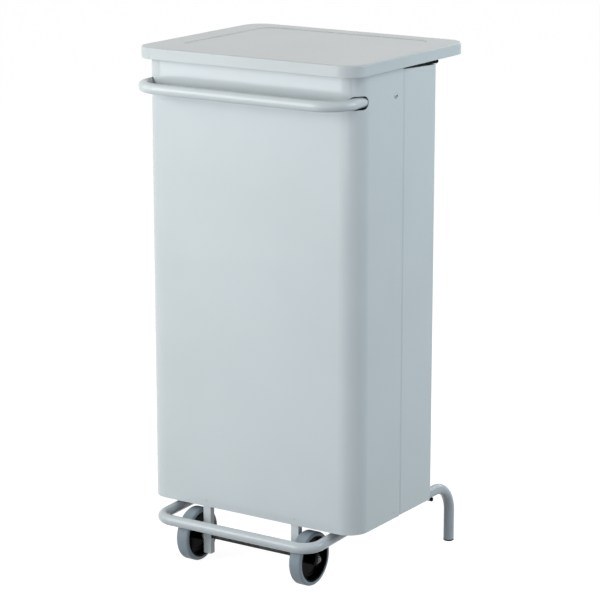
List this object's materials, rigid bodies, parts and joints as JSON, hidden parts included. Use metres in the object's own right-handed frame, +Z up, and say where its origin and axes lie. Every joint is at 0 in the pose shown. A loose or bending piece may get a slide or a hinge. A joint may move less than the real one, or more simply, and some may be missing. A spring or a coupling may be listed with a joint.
{
  "type": "wheeled pedal bin",
  "caption": "Tall painted steel waste bin on wheels and bent tube legs, with a push handle and a tubular pedal that lifts its flat hinged lid.",
  "frame": {"origin": "centre of the overall footprint, from the pedal to the lid's far edge, on the floor", "axes": "+Z up; -Y towards the user, where the handle, the pedal and the wheels are; +Y towards the wall, where the lid's hinge and the legs are; +X to the right"},
  "size_m": [0.472, 0.438, 0.959],
  "materials": {
    "grey_white_paint": "satin powder coat",
    "black_coating": "plastic-coated bar",
    "black_plastic": "moulded, satin",
    "black_rubber": "matte",
    "grey_tyre": "smooth grey rubber",
    "dark_steel": "blackened",
    "zinc_steel": "zinc plated"
  },
  "bodies": {
    "body": {"front_shell": "grey_white_paint", "rear_shell": "grey_white_paint", "floor_pan": "grey_white_paint", "rod_duct": "grey_white_paint", "bag_hoop": "black_coating", "hinge_bracket_left": "grey_white_paint", "hinge_bracket_right": "grey_white_paint", "hinge_rivets": "zinc_steel", "push_handle": "grey_white_paint", "handle_screws": "zinc_steel", "leg_left": "grey_white_paint", "leg_right": "grey_white_paint", "leg_plug_left": "black_plastic", "leg_plug_right": "black_plastic", "leg_tie_rod": "grey_white_paint", "tie_rod_caps": "black_plastic", "wheel_post_left": "grey_white_paint", "wheel_post_right": "grey_white_paint", "axle": "dark_steel", "axle_washers": "zinc_steel", "axle_caps": "zinc_steel", "pivot_bracket_left": "grey_white_paint", "pivot_bracket_right": "grey_white_paint", "bracket_screws": "zinc_steel", "bracket_nuts": "zinc_steel", "pivot_bushes": "black_plastic", "guide_plate": "grey_white_paint", "guide_bushes": "black_plastic"},
    "lid": {"lid": "grey_white_paint", "lid_arm_left": "grey_white_paint", "lid_arm_right": "grey_white_paint", "lid_lever": "grey_white_paint", "lid_pin": "zinc_steel", "lid_pin_clips": "zinc_steel", "lid_buffers": "black_rubber"},
    "pedal": {"pedal_loop": "grey_white_paint", "pedal_plugs": "black_plastic", "pedal_shaft": "zinc_steel", "pedal_lever": "grey_white_paint", "pedal_pin": "zinc_steel", "pedal_pin_clips": "zinc_steel"},
    "lifter": {"push_rod": "zinc_steel", "clevis_lower": "zinc_steel", "clevis_upper": "zinc_steel", "rod_nuts": "zinc_steel"},
    "wheel_left": {"tyre_left": "grey_tyre", "wheel_core_left": "black_plastic"},
    "wheel_right": {"tyre_right": "grey_tyre", "wheel_core_right": "black_plastic"}
  },
  "joints": [
    {"name": "lid_hinge", "type": "hinge", "parent": "body", "child": "lid", "pos_m": [0, 0.1195, 0.93384], "axis": [-1, 0, 0], "range_deg": [0, 60]},
    {"name": "pedal_pivot", "type": "hinge", "parent": "body", "child": "pedal", "pos_m": [0, -0.059, 0.09624], "axis": [1, 0, 0], "range_deg": [0, 9]},
    {"name": "rod_slide", "type": "slide", "parent": "body", "child": "lifter", "axis": [0, 0, 1], "range_m": [0, 0.0245]},
    {"name": "wheel_left_spin", "type": "hinge", "parent": "body", "child": "wheel_left", "pos_m": [-0.125, -0.1437, 0.05], "axis": [1, 0, 0], "continuous": true},
    {"name": "wheel_right_spin", "type": "hinge", "parent": "body", "child": "wheel_right", "pos_m": [0.125, -0.1437, 0.05], "axis": [1, 0, 0], "continuous": true}
  ],
  "couplings": [
    {"joint": "pedal_pivot", "follows": "lid_hinge", "ratio": 0.15},
    {"joint": "rod_slide", "follows": "lid_hinge", "m_per_rad": 0.023394}
  ]
}
